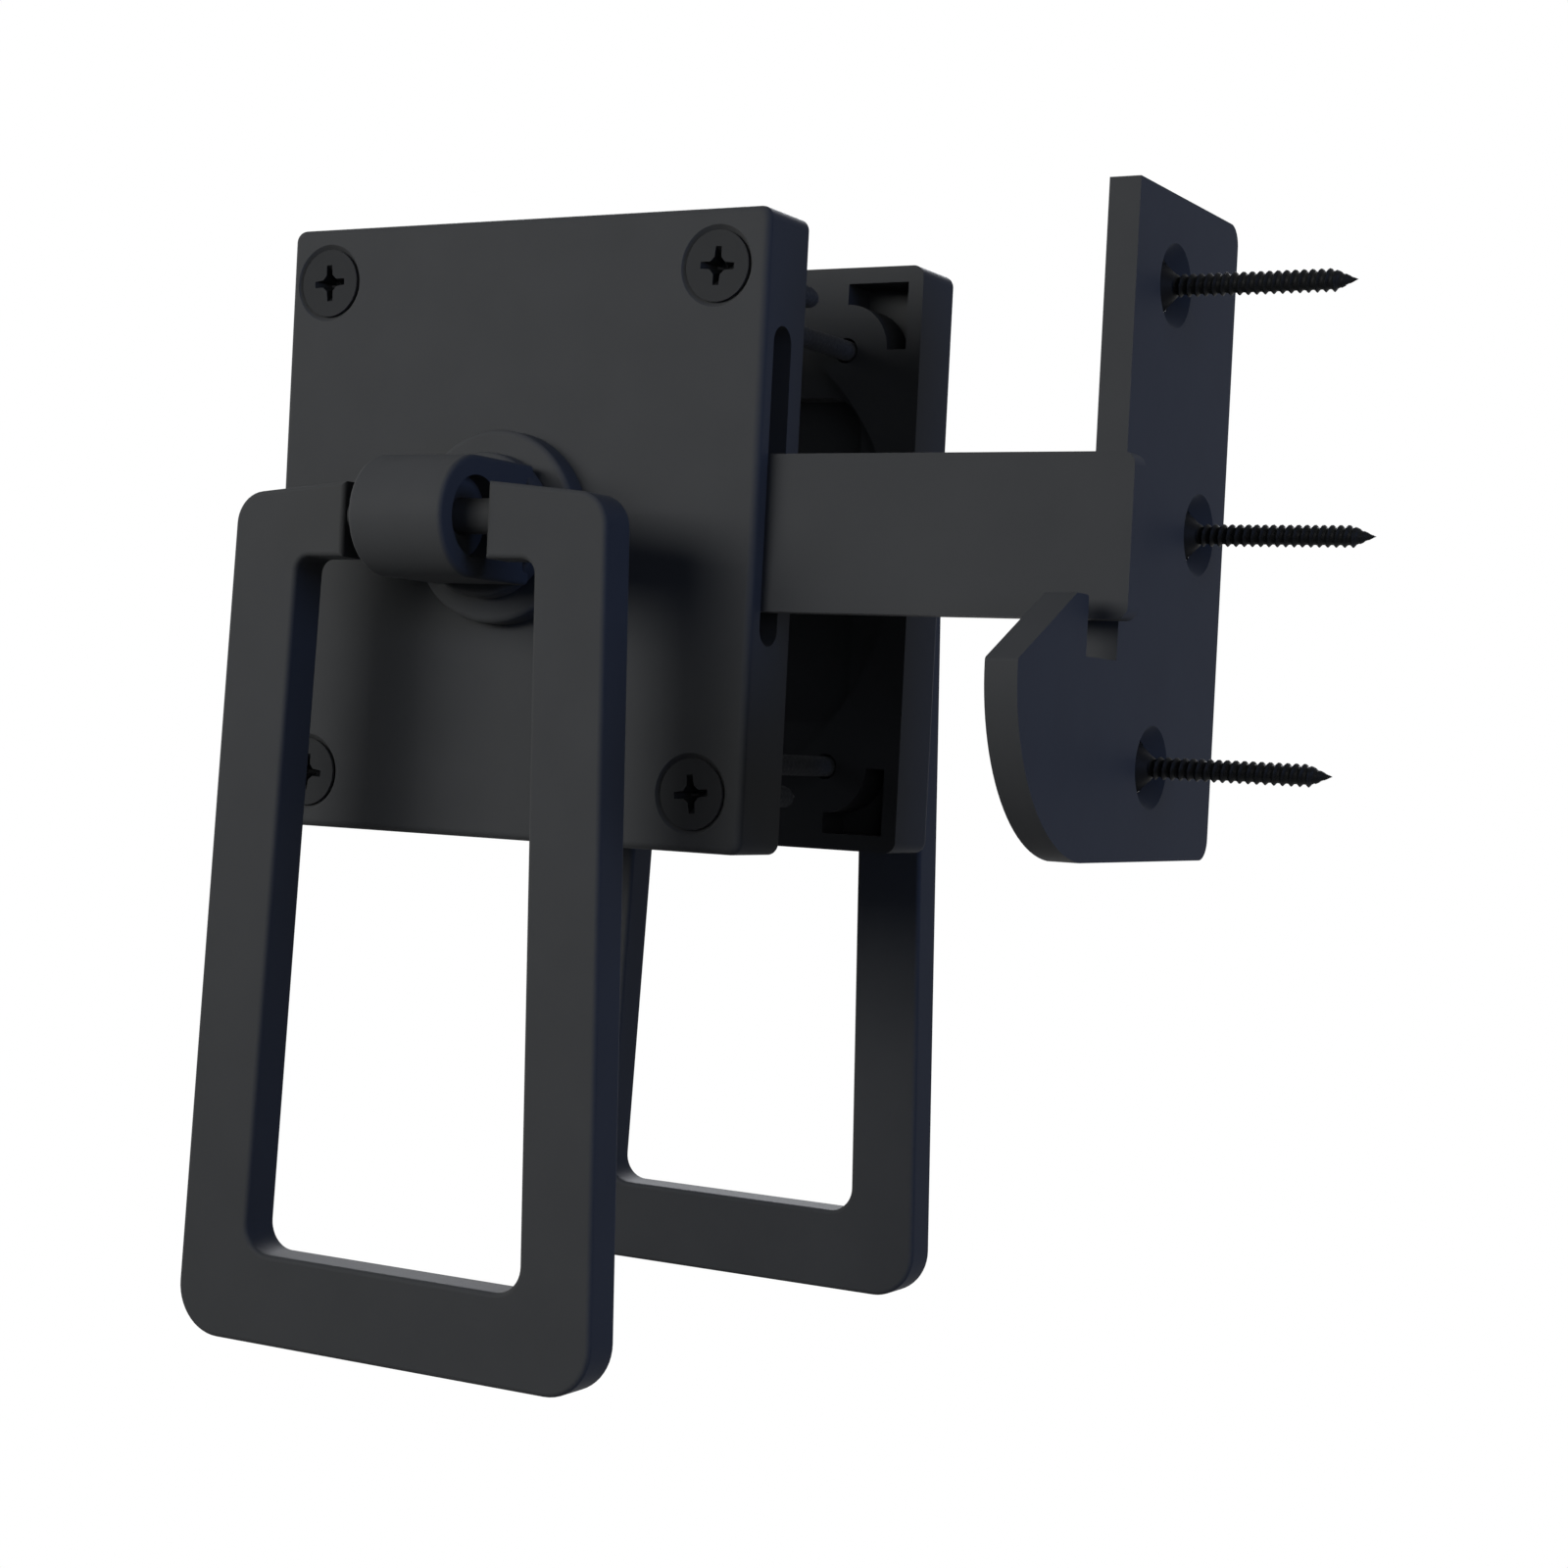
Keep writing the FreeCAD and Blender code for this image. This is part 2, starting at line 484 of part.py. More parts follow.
def make_hub(label, journal_end):
    """Turned collar and journal with a cast lug, whose barrel nose holds the ring's stub ends."""
    body = new_body(label)
    profile = sketch_on(body, "turned_profile", "XY_Plane")
    journal, collar = "dims.journal_dia / 2", "dims.collar_dia / 2"
    add_outline(profile, [
        ("0", COLLAR_FRONT), (collar, COLLAR_FRONT), (collar, COLLAR_BACK),
        (journal, COLLAR_BACK), (journal, journal_end), ("0", journal_end)])
    revolve(body, profile, "turned_body")
    front = measure(COLLAR_FRONT)
    round_edges(body, "collar_round", "dims.collar_height / 4", lambda edge: lies_at(edge, "y", front))
    lug = sketch_on(body, "lug_outline", "YZ_Plane")
    nose, nose_tip = "dims.lug_dia / 2", "(%s - dims.lug_dia / 2)" % RING_AXIS
    root = "(%s + dims.collar_height / 2)" % COLLAR_FRONT
    add_outline(lug, [
        (root, "-" + nose), (root, nose), (RING_AXIS, nose, nose, 1),
        (nose_tip, "0", nose, 1), (RING_AXIS, "-" + nose)])
    pad(body, lug, "lug", "dims.lug_width", both_ways=True)
    cheek = measure("dims.lug_width / 2")
    round_edges(body, "cheek_rounds", "dims.ring_edge",
                lambda edge: (abs(abs(middle(edge).x) - cheek) < TOLERANCE
                              and edge.BoundBox.XLength < TOLERANCE and middle(edge).y < front))
    stub_hole = sketch_on(body, "stub_hole_circle", "YZ_Plane")
    add_circle(stub_hole, RING_AXIS, "0", "dims.stub_dia + 2 * dims.bore_gap")
    pocket(body, stub_hole, "stub_hole", "dims.lug_width", both_ways=True)
    for name, at, forward in (("right_cup", "dims.lug_width / 2", False),
                              ("left_cup", "(-dims.lug_width / 2)", True)):
        cup = sketch_on(body, name + "_circle", "YZ_Plane", at)
        add_circle(cup, RING_AXIS, "0", "dims.cup_dia")
        pocket(body, cup, name, "dims.cup_depth", back=forward)
    socket = sketch_on(body, "socket_square", "XZ_Plane", journal_end)
    half = "%s / 2" % SOCKET_SIDE
    add_rectangle(socket, "-" + half, "-" + half, half, half)
    pocket(body, socket, "socket", "%s - %s + dims.socket_depth" % (journal_end, CAM_FRONT), back=True)
    return body


def make_rear_hub():
    """The rear hub has a longer journal with a groove for the snap ring."""
    body = make_hub("rear_hub", REAR_JOURNAL_END)
    profile = sketch_on(body, "groove_profile", "XY_Plane")
    add_rectangle(profile, "dims.groove_dia / 2", GROOVE_FRONT, "dims.journal_dia", GROOVE_BACK)
    groove(body, profile, "snap_groove")
    place_behind_gate(body)


def half_width(height):
    """Half the ring's outer width at a height, on the straight line from its shoulders to its foot."""
    shoulder = "(dims.ring_rise - dims.ring_shoulder_drop)"
    return ("(dims.ring_top_width / 2 + (dims.ring_bottom_width - dims.ring_top_width) / 2"
            " * (%s - %s) / (%s + dims.ring_drop))" % (shoulder, height, shoulder))


def ring_round(body, name, radius, is_corner):
    """Round upright corners of the ring that pass a test of |x| and z."""
    round_edges(body, name, radius,
                lambda edge: runs_along(edge, "y") and is_corner(abs(middle(edge).x), middle(edge).z))


def make_ring(label):
    """Ring pull, open at the top, with stub ends along the swing axis at its own origin."""
    body = new_body(label)
    end, shoulder = "dims.ring_gap / 2", "(dims.ring_rise - dims.ring_shoulder_drop)"
    under, heel, foot = ("(dims.ring_rise - dims.ring_end_height)",
                         "(-dims.ring_drop + dims.ring_bottom_bar)", "(-dims.ring_drop)")
    inner_top = "(%s - dims.ring_side_bar)" % half_width(under)
    inner_foot = "(%s - dims.ring_side_bar)" % half_width(heel)
    outer_top, outer_foot = half_width(shoulder), half_width(foot)
    outline = sketch_on(body, "ring_outline", "XZ_Plane")
    add_outline(outline, [
        (end, under), (inner_top, under), (inner_foot, heel), ("-" + inner_foot, heel),
        ("-" + inner_top, under), ("-" + end, under), ("-" + end, "dims.ring_rise"),
        ("-" + outer_top, shoulder), ("-" + outer_foot, foot), (outer_foot, foot),
        (outer_top, shoulder), (end, "dims.ring_rise")])
    pad(body, outline, "ring_blank", "dims.ring_thickness", both_ways=True)
    wide, split, low, deep = (measure(outer_top) - TOLERANCE, measure(end) + TOLERANCE,
                              measure(under) - TOLERANCE, measure(foot) + TOLERANCE)
    ring_round(body, "shoulder_rounds", "dims.ring_shoulder_round", lambda x, z: x > wide and z > low)
    ring_round(body, "foot_rounds", "dims.ring_foot_round", lambda x, z: z < deep)
    ring_round(body, "heel_rounds", "dims.ring_heel_round",
               lambda x, z: abs(z - measure(heel)) < TOLERANCE)
    ring_round(body, "inner_rounds", "dims.ring_inner_round",
               lambda x, z: abs(z - measure(under)) < TOLERANCE and x > split)
    face = measure("dims.ring_thickness / 2")
    round_edges(body, "face_rounds", "dims.ring_edge",
                lambda edge: lies_at(edge, "y", face) or lies_at(edge, "y", -face))
    for name, at, back in (("right_stub", end, True), ("left_stub", "(-%s)" % end, False)):
        circle = sketch_on(body, name + "_circle", "YZ_Plane", at)
        add_circle(circle, "0", "0", "dims.stub_dia")
        pad(body, circle, name, "dims.stub_reach", back=back)
    return body


def make_rings():
    """Both rings hang from their hubs."""
    place(make_ring("front_ring"), x="-dims.ring_slide", y=RING_AXIS)
    place(make_ring("rear_ring"), x="-dims.ring_slide", y="dims.gate_thickness - %s" % RING_AXIS)


def make_spindle():
    """Square bar through the gate, from socket to socket."""
    body = new_body("spindle")
    start = "(%s - dims.socket_depth + dims.spindle_end_gap)" % CAM_FRONT
    square = sketch_on(body, "spindle_square", "XZ_Plane", start)
    half = "dims.spindle_side / 2"
    add_rectangle(square, "-" + half, "-" + half, half, half)
    pad(body, square, "spindle_bar", "dims.gate_thickness - 2 * %s" % start, back=True)
    base = body.Tip
    ends = (measure(start), measure("dims.gate_thickness - %s" % start))
    names = ["Edge%d" % number for number, edge in enumerate(base.Shape.Edges, start=1)
             if any(lies_at(edge, "y", end) for end in ends)]
    chamfer = body.newObject("PartDesign::Chamfer", "end_chamfers")
    chamfer.Base = (base, names)
    chamfer.setExpression("Size", "dims.spindle_side / 10")
    doc.recompute()


def make_latch_bar():
    """Flat bar: a tail round the pivot, a window over the cam and a long nose out of the slot."""
    body = new_body("latch_bar")
    half, window = "dims.bar_height / 2", "dims.bar_window / 2"
    tail = "(%s - dims.tail_reach)" % PIVOT_X
    tail_cut = "(%s + dims.tail_chamfer)" % tail
    end = "(%s + dims.bar_overhang)" % STRIKE_RIGHT
    outline = sketch_on(body, "bar_outline", "XZ_Plane", BAR_FRONT)
    add_outline(outline, [
        (window, "-" + half), (end, "-" + half), (end, half),
        ("dims.bar_fall_end", half), ("dims.bar_crest_end", "dims.bar_crest"),
        ("-dims.bar_crest_end", "dims.bar_crest"), (tail, "dims.tail_chamfer"),
        (tail, "-dims.tail_chamfer"), (tail_cut, "-" + half), ("-" + window, "-" + half),
        ("-" + window, WINDOW_TOP), (window, WINDOW_TOP)])
    pad(body, outline, "bar_blank", "dims.bar_thickness", back=True)
    round_edges(body, "bar_corners", "dims.bar_corner", lambda edge: runs_along(edge, "y"))
    hole = sketch_on(body, "pivot_hole_circle", "XZ_Plane", BAR_FRONT)
    add_circle(hole, PIVOT_X, "0", "dims.pivot_dia + 2 * dims.bore_gap")
    pocket(body, hole, "pivot_hole", "dims.bar_thickness")


def make_pivot():
    """Headed pin pressed into the front wall, and the washer under its head."""
    washer_front = "(%s + dims.washer_gap)" % BAR_BACK
    head_front = "(%s + dims.washer_thickness)" % washer_front
    pin = new_body("bar_pivot_pin")
    profile = sketch_on(pin, "pin_profile", "XY_Plane")
    start, shank, head = "(%s - dims.pivot_sink)" % FLOOR, "dims.pivot_dia / 2", "dims.pivot_head_dia / 2"
    add_outline(profile, [
        ("0", start), (shank, start), (shank, head_front), (head, head_front),
        (head, "%s + dims.pivot_head" % head_front), ("0", "%s + dims.pivot_head" % head_front)])
    revolve(pin, profile, "turned_pin")
    end = measure("%s + dims.pivot_head" % head_front)
    round_edges(pin, "head_round", "dims.pivot_head / 2", lambda edge: lies_at(edge, "y", end))
    place(pin, x=PIVOT_X)
    washer = new_body("pivot_washer")
    circles = sketch_on(washer, "washer_circles", "XZ_Plane", washer_front)
    add_circle(circles, "0", "0", "dims.pivot_pad_dia")
    add_circle(circles, "0", "0", "dims.pivot_dia + 2 * dims.seat_gap")
    pad(washer, circles, "washer", "dims.washer_thickness", back=True)
    place(washer, x=PIVOT_X)


def square_hole(body, at, depth):
    """A square hole for the spindle, from a plane across Y."""
    square = sketch_on(body, "spindle_hole_square", "XZ_Plane", at)
    half = "%s / 2" % SOCKET_SIDE
    add_rectangle(square, "-" + half, "-" + half, half, half)
    pocket(body, square, "spindle_hole", depth)


def make_cam():
    """Flat-topped cam with two arms, which lifts the bar whichever way the handle turns."""
    body = new_body("lifter_cam")
    tip_under = "(dims.cam_flat - dims.cam_tip)"
    outline = sketch_on(body, "cam_outline", "XZ_Plane", CAM_FRONT)
    add_outline(outline, [
        ("-dims.cam_reach", "dims.cam_flat"), ("-dims.cam_reach", tip_under),
        ("-dims.cam_belly", "-dims.cam_belly / 2"), ("-dims.cam_belly / 2", "-dims.cam_belly"),
        ("dims.cam_belly / 2", "-dims.cam_belly"), ("dims.cam_belly", "-dims.cam_belly / 2"),
        ("dims.cam_reach", tip_under), ("dims.cam_reach", "dims.cam_flat")])
    pad(body, outline, "cam_blank", "dims.cam_thickness", back=True)
    round_edges(body, "cam_rounds", "dims.cam_tip / 4", lambda edge: runs_along(edge, "y"))
    square_hole(body, CAM_FRONT, "dims.cam_thickness")


def make_cam_lock():
    """Round washer with a square hole, pressed on the spindle behind the cam."""
    body = new_body("cam_lock_washer")
    circle = sketch_on(body, "lock_circle", "XZ_Plane", CAM_BACK)
    add_circle(circle, "0", "0", "dims.lock_dia")
    pad(body, circle, "lock_blank", "dims.lock_thickness", back=True)
    square_hole(body, CAM_BACK, "dims.lock_thickness")


def make_snap_ring():
    """Open ring in the groove of the rear hub, its mouth downward."""
    body = new_body("rear_snap_ring")
    at = "(%s + dims.seat_gap)" % GROOVE_FRONT
    circles = sketch_on(body, "snap_circles", "XZ_Plane", at)
    add_circle(circles, "0", "0", "dims.snap_dia")
    add_circle(circles, "0", "0", "dims.groove_dia + 2 * dims.seat_gap")
    pad(body, circles, "snap_blank", "dims.snap_thickness", back=True)
    mouth = sketch_on(body, "mouth_outline", "XZ_Plane", at)
    add_rectangle(mouth, "-dims.snap_mouth / 2", "-dims.snap_dia", "dims.snap_mouth / 2", "0")
    pocket(body, mouth, "mouth", "dims.snap_thickness")
    place_behind_gate(body)


def make_screw(label):
    """Flat-head wood screw, its head's face at its own origin and its point toward its own -Z."""
    body = new_body(label)
    profile = sketch_on(body, "screw_profile", "XZ_Plane")
    head, shaft = "dims.screw_head_dia / 2", "dims.screw_shaft_dia / 2"
    add_outline(profile, [
        ("0", "0"), ("0", "-dims.screw_length"), (shaft, "-(dims.screw_length - dims.screw_point)"),
        (shaft, "-(dims.screw_head_land + %s)" % HEAD_CONE), (head, "-dims.screw_head_land"), (head, "0")])
    revolve(body, profile, "turned_screw")
    cross = sketch_on(body, "cross_outline", "XY_Plane")
    arm, half = "dims.cross_length / 2", "dims.cross_width / 2"
    corners = [(half, half), (half, arm), ("-" + half, arm), ("-" + half, half),
               ("-" + arm, half), ("-" + arm, "-" + half)]
    add_outline(cross, corners + [("-(%s)" % across, "-(%s)" % up) for across, up in corners])
    pocket(body, cross, "cross_recess", "dims.cross_depth")
    return body


def make_case_screws():
    """Four screws in each case, their points toward each other in the gate."""
    corners = [(-1, 1), (1, 1), (1, -1), (-1, -1)]
    for number, (side, height) in enumerate(corners, start=1):
        place(make_screw("front_case_screw_%d" % number),
              SCREW_LEFT if side < 0 else SCREW_RIGHT, "-dims.case_depth + dims.screw_sink",
              "%d * %s" % (height, SCREW_UP), axis=(1, 0, 0), angle=90)
    for number, (side, height) in enumerate(corners, start=1):
        place(make_screw("rear_case_screw_%d" % number),
              "%d * %s" % (side, REAR_SCREW_X), "dims.gate_thickness + dims.case_depth - dims.screw_sink",
              "%d * %s" % (height, REAR_SCREW_UP), axis=(1, 0, 0), angle=-90)


def strike_holes():
    """Places of the strike's holes, from top to bottom."""
    outer, inner = ["(%s + dims.%s)" % (PLATE_FRONT, inset)
                    for inset in ("strike_hole_inset", "strike_mid_inset")]
    return [(outer, "dims.strike_hole_top"), (inner, "dims.strike_hole_mid"),
            (outer, "-dims.strike_hole_low")]


def strike_hole(body, number, across, up):
    """One hole of the strike, countersunk on both faces, which meet halfway through the plate."""
    rim = "(%s / 2)" % SINK_DIA
    waist = "max(%s - dims.strike_thickness / 2 * %s; %s / 2)" % (rim, HEAD_SLOPE, SCREW_HOLE_DIA)
    profile = sketch_on(body, "hole_profile_%d" % number, "XY_Plane", up)
    add_outline(profile, [
        (STRIKE_LEFT, across), (STRIKE_RIGHT, across), (STRIKE_RIGHT, "%s + %s" % (across, rim)),
        ("(%s + %s) / 2" % (STRIKE_LEFT, STRIKE_RIGHT), "%s + %s" % (across, waist)),
        (STRIKE_LEFT, "%s + %s" % (across, rim))])
    groove(body, profile, "hole_%d" % number, "Edge1")


def make_strike():
    """Plate across X with a ramped hook, a notch for the bar, and three screw holes."""
    body = new_body("strike_plate")
    tip_back = "(%s - dims.notch_front_gap)" % BAR_FRONT
    plate_back = "(%s + dims.strike_width)" % PLATE_FRONT
    hook_front = "(%s - dims.hook_reach)" % tip_back
    notch_floor = "(-dims.bar_height / 2 - dims.notch_floor_gap)"
    ramp_foot = "(-dims.hook_tip - dims.hook_ramp_drop)"
    outline = sketch_on(body, "strike_outline", "YZ_Plane", STRIKE_LEFT)
    add_outline(outline, [
        (PLATE_FRONT, "dims.strike_top"), (PLATE_FRONT, notch_floor), (tip_back, notch_floor),
        (tip_back, "-dims.hook_tip"), ("(%s - dims.hook_tip_flat)" % tip_back, "-dims.hook_tip"),
        (hook_front, ramp_foot, "dims.hook_round", 1),
        ("(%s + dims.hook_heel)" % hook_front, "-dims.strike_bottom"),
        (plate_back, "-dims.strike_bottom"), (plate_back, "dims.strike_top")])
    pad(body, outline, "strike_blank", "dims.strike_thickness")
    back = measure(plate_back)
    round_edges(body, "plate_corners", "dims.strike_corner",
                lambda edge: runs_along(edge, "x") and abs(middle(edge).y - back) < TOLERANCE)
    front, low = measure(tip_back), measure(notch_floor) + TOLERANCE
    ramp = measure(ramp_foot)
    round_edges(body, "hook_corners", "dims.hook_edge",
                lambda edge: (runs_along(edge, "x") and middle(edge).y < front + TOLERANCE
                              and (middle(edge).z > low or abs(middle(edge).z - ramp) < TOLERANCE)))
    for number, (across, up) in enumerate(strike_holes(), start=1):
        strike_hole(body, number, across, up)
    for number, (across, up) in enumerate(strike_holes(), start=1):
        place(make_screw("strike_screw_%d" % number),
              "%s + dims.screw_sink" % STRIKE_LEFT, across, up, axis=(0, 1, 0), angle=-90)


def check_and_export():
    """Stop at any failed feature, then write each piece to its own file."""
    doc.recompute()
    for item in doc.Objects:
        if "Invalid" in item.State or "Error" in item.State:
            raise ValueError("%s failed: %s" % (item.Name, item.State))
    os.makedirs("parts", exist_ok=True)
    for piece in pieces:
        shape = piece.Shape
        if shape.isNull() or not shape.isValid() or len(shape.Solids) != 1:
            raise ValueError("%s is not one valid solid" % piece.Label)
        shape.exportStep("parts/%s.step" % piece.Label)


make_front_case()
make_latch_bar()
make_pivot()
make_hub("front_hub", CAM_FRONT)
make_cam()
make_cam_lock()
make_spindle()
make_rear_case()
make_rear_hub()
make_snap_ring()
make_rings()
make_strike()
make_case_screws()
check_and_export()
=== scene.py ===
import json
import math

import bmesh
import bpy
from mathutils import Matrix, Vector


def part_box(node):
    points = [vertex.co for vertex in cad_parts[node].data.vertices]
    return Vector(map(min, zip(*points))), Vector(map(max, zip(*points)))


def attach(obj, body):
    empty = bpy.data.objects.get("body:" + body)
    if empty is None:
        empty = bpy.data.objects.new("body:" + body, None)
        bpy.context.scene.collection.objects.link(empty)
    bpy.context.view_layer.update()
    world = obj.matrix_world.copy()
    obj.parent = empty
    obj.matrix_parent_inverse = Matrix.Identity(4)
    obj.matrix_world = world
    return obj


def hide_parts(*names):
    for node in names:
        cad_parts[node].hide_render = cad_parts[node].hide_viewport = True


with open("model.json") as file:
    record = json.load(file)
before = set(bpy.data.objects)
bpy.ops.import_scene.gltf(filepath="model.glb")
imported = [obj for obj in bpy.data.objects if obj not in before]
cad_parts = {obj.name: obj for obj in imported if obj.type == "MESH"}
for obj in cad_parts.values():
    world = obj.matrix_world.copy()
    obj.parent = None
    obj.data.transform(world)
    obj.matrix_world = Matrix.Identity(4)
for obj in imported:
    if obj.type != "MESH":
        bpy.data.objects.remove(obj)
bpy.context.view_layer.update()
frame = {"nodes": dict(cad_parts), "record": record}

# Gate latch: powder-coated castings, ring pulls and bar, phosphated wood screws, zinc-plated inner parts.
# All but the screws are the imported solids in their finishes. The screws are made here, because their
# threads and cross recesses show.

MM = 0.001

# Sockets of a mix node set to colours, by number because its other kinds of socket share their names
FIRST_COLOUR = 6
SECOND_COLOUR = 7
MIXED_COLOUR = 2


def linear(hex_colour):
    """An sRGB hex colour as the linear red, green, blue and alpha that Blender takes."""
    channels = [int(hex_colour[start:start + 2], 16) / 255 for start in (1, 3, 5)]
    return [c / 12.92 if c <= 0.04045 else ((c + 0.055) / 1.055) ** 2.4 for c in channels] + [1.0]


def add_node(tree, kind, values=None, links=None, **settings):
    """Add a node with its own settings, the values of its sockets, and links into them."""
    node = tree.nodes.new(kind)
    for name, setting in settings.items():
        setattr(node, name, setting)
    for name, value in (values or {}).items():
        node.inputs[name].default_value = value
    for name, output in (links or {}).items():
        tree.links.new(output, node.inputs[name])
    return node


def new_material(name):
    """An empty material with its output node."""
    material = bpy.data.materials.new(name)
    material.use_nodes = True
    material.node_tree.nodes.clear()
    return material, add_node(material.node_tree, "ShaderNodeOutputMaterial")


# Powder coat on a casting: grains melt into a skin with a faint orange peel, so it shines softly and never
# mirrors. Its fine tooth is drawn coarser than a real one, so that it shows.
COAT_DRIFT_MM = 9  # size of the patches where the coat lies thicker or thinner
ORANGE_PEEL_MM = 1.5
ORANGE_PEEL_HEIGHT_MM = 0.05
TOOTH_MM = 0.25
TOOTH_HEIGHT_MM = 0.02
COAT_SPECULAR = 0.02  # a real coat is near 0.5, but then the white surroundings mirror too strongly


def powder_coat(name, colour, pale, roughness):
    """Matte polyester powder coat, a little paler where it is thinner."""
    material, output = new_material(name)
    tree = material.node_tree
    place = add_node(tree, "ShaderNodeTexCoord").outputs["Object"]
    thickness = add_node(tree, "ShaderNodeTexNoise", {"Scale": 1 / (COAT_DRIFT_MM * MM), "Detail": 3.0},
                         {"Vector": place})
    tone = add_node(tree, "ShaderNodeMix", {FIRST_COLOUR: linear(colour), SECOND_COLOUR: linear(pale)},
                    {"Factor": thickness.outputs["Fac"]}, data_type="RGBA")
    peel = add_node(tree, "ShaderNodeTexNoise", {"Scale": 1 / (ORANGE_PEEL_MM * MM), "Detail": 1.0},
                    {"Vector": place})
    tooth = add_node(tree, "ShaderNodeTexNoise", {"Scale": 1 / (TOOTH_MM * MM), "Detail": 0.0},
                     {"Vector": place})
    waves = add_node(tree, "ShaderNodeBump", {"Strength": 0.18, "Distance": ORANGE_PEEL_HEIGHT_MM * MM},
                     {"Height": peel.outputs["Fac"]})
    grains = add_node(tree, "ShaderNodeBump", {"Strength": 0.12, "Distance": TOOTH_HEIGHT_MM * MM},
                      {"Height": tooth.outputs["Fac"], "Normal": waves.outputs["Normal"]})
    coat = add_node(tree, "ShaderNodeBsdfPrincipled",
                    {"Roughness": roughness, "Specular IOR Level": COAT_SPECULAR, "IOR": 1.5},
                    {"Base Color": tone.outputs[MIXED_COLOUR], "Normal": grains.outputs["Normal"]})
    tree.links.new(coat.outputs["BSDF"], output.inputs["Surface"])
    return material


# Phosphate on a rolled steel screw: drier than the coat and faintly uneven. Its crystals are drawn many
# times their real size, so that they show.
CRYSTAL_MM = 0.4
CRYSTAL_HEIGHT_MM = 0.02
PHOSPHATE_SPECULAR = 0.05


def phosphate_finish(name, colour, pale):
    """Dry phosphate, blotched in two close greys."""
    material, output = new_material(name)
    tree = material.node_tree
    place = add_node(tree, "ShaderNodeTexCoord").outputs["Object"]
    crystals = add_node(tree, "ShaderNodeTexNoise", {"Scale": 1 / (CRYSTAL_MM * MM), "Detail": 2.0},
                        {"Vector": place})
    tone = add_node(tree, "ShaderNodeMix", {FIRST_COLOUR: linear(colour), SECOND_COLOUR: linear(pale)},
                    {"Factor": crystals.outputs["Fac"]}, data_type="RGBA")
    bump = add_node(tree, "ShaderNodeBump", {"Strength": 0.2, "Distance": CRYSTAL_HEIGHT_MM * MM},
                    {"Height": crystals.outputs["Fac"]})
    finish = add_node(tree, "ShaderNodeBsdfPrincipled",
                      {"Roughness": 0.5, "Specular IOR Level": PHOSPHATE_SPECULAR, "IOR": 1.5},
                      {"Base Color": tone.outputs[MIXED_COLOUR], "Normal": bump.outputs["Normal"]})
    tree.links.new(finish.outputs["BSDF"], output.inputs["Surface"])
    return material


# Bright zinc on drawn and stamped steel: a cool grey metal with fine lines that run front to back, as on
# the drawn spindle
DRAWN_LINE_MM = 0.5
DRAWN_LINE_HEIGHT_MM = 0.02
DRAWN_LINE_SCALE = 0.06  # the pattern's scale front to back, which draws its spots out into lines


def zinc_plate(name, colour, pale):
    """Zinc plate with faint lines in two close greys."""
    material, output = new_material(name)
    tree = material.node_tree
    place = add_node(tree, "ShaderNodeTexCoord").outputs["Object"]
    drawn = add_node(tree, "ShaderNodeMapping", {"Scale": (1.0, DRAWN_LINE_SCALE, 1.0)}, {"Vector": place})
    lines = add_node(tree, "ShaderNodeTexNoise", {"Scale": 1 / (DRAWN_LINE_MM * MM), "Detail": 2.0},
                     {"Vector": drawn.outputs["Vector"]})
    tone = add_node(tree, "ShaderNodeMix", {FIRST_COLOUR: linear(colour), SECOND_COLOUR: linear(pale)},
                    {"Factor": lines.outputs["Fac"]}, data_type="RGBA")
    bump = add_node(tree, "ShaderNodeBump", {"Strength": 0.15, "Distance": DRAWN_LINE_HEIGHT_MM * MM},
                    {"Height": lines.outputs["Fac"]})
    finish = add_node(tree, "ShaderNodeBsdfPrincipled", {"Metallic": 1.0, "Roughness": 0.36},
                      {"Base Color": tone.outputs[MIXED_COLOUR], "Normal": bump.outputs["Normal"]})
    tree.links.new(finish.outputs["BSDF"], output.inputs["Surface"])
    return material


coat = powder_coat("black_powder_coat", "#343536", "#393a3b", 0.55)
screw_coat = powder_coat("coated_screw_head", "#262728", "#2a2b2c", 0.5)
# The case screws' shafts take a paler copy of the one black phosphate finish: painted light, standing in
# for the key lamp that lights them
screw_black = phosphate_finish("black_phosphate_steel", "#0a0b0c", "#151617")
screw_painted_lit = phosphate_finish("phosphate_painted_lit", "#333435", "#444546")
zinc = zinc_plate("zinc_plated_steel", "#a9adb0", "#c6c9c9")

FINISHES = {"black_coat": coat, "black_screw": screw_black, "zinc_steel": zinc}
for part in frame["record"]["subparts"]:
    node = frame["nodes"][part["node"]]
    node.data.materials.clear()
    node.data.materials.append(FINISHES[part["material_slot"]])

# Wood screws in millimetres: the head's face at 0 and the point toward -Z
SCREW_LENGTH = 25.4
HEAD_RADIUS = 4.25
HEAD_LAND = 0.4
HEAD_CONE_DEGREES = 41
THREAD_RADIUS = 1.36
CORE_RADIUS = 1.02
THREAD_HEIGHT = THREAD_RADIUS - CORE_RADIUS
THREAD_PITCH = 1.02
THREAD_FLANK = 0.34  # from the crest to the core, as a share of the pitch
POINT_LENGTH = 2.5
POINT_THREAD = 0.4  # share of the thread's height that the point keeps
HEAD_CONE = (HEAD_RADIUS - THREAD_RADIUS) / math.tan(math.radians(HEAD_CONE_DEGREES))
NECK = HEAD_LAND + HEAD_CONE
AROUND = 40  # points in each ring
STEPS_PER_TURN = 10  # rings of points to each turn of the thread


